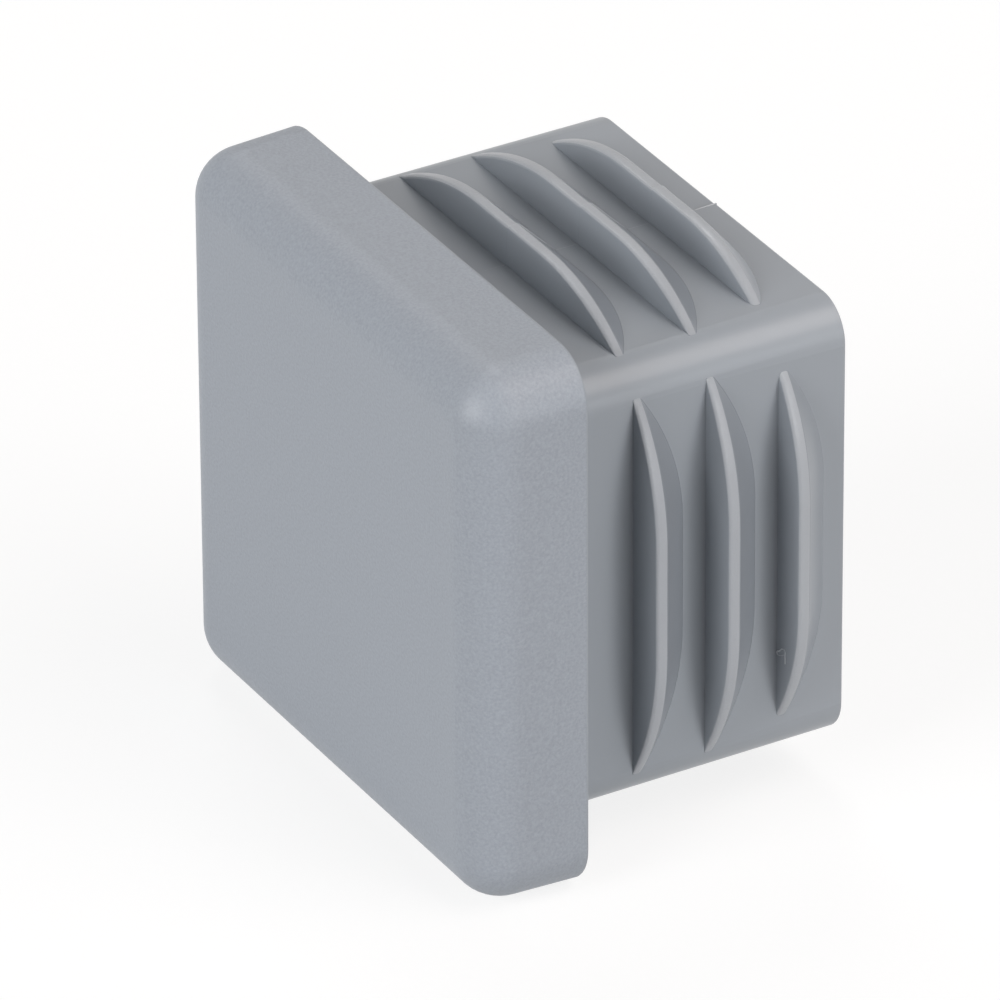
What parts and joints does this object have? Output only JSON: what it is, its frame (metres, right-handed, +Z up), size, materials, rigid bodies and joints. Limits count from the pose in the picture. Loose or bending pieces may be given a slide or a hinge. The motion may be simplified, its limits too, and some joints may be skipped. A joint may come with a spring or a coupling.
{
  "type": "square tube end cap",
  "caption": "Grey moulded plastic end cap for a square tube: a thick rounded head and a hollow square shank with saw-tooth holding ribs on every side.",
  "frame": {"origin": "middle of the seating face, where the head meets the end of the tube, on the tube's axis", "axes": "+Y along the tube's axis, into the tube, out of the shank's open end; +Z up as the part lies on its side"},
  "size_m": [0.04, 0.0298, 0.04],
  "materials": {
    "cap_plastic": "fine spark-eroded grain on the head, smooth satin on the shank"
  },
  "bodies": {
    "root": {"end_cap": "cap_plastic"}
  },
  "joints": []
}
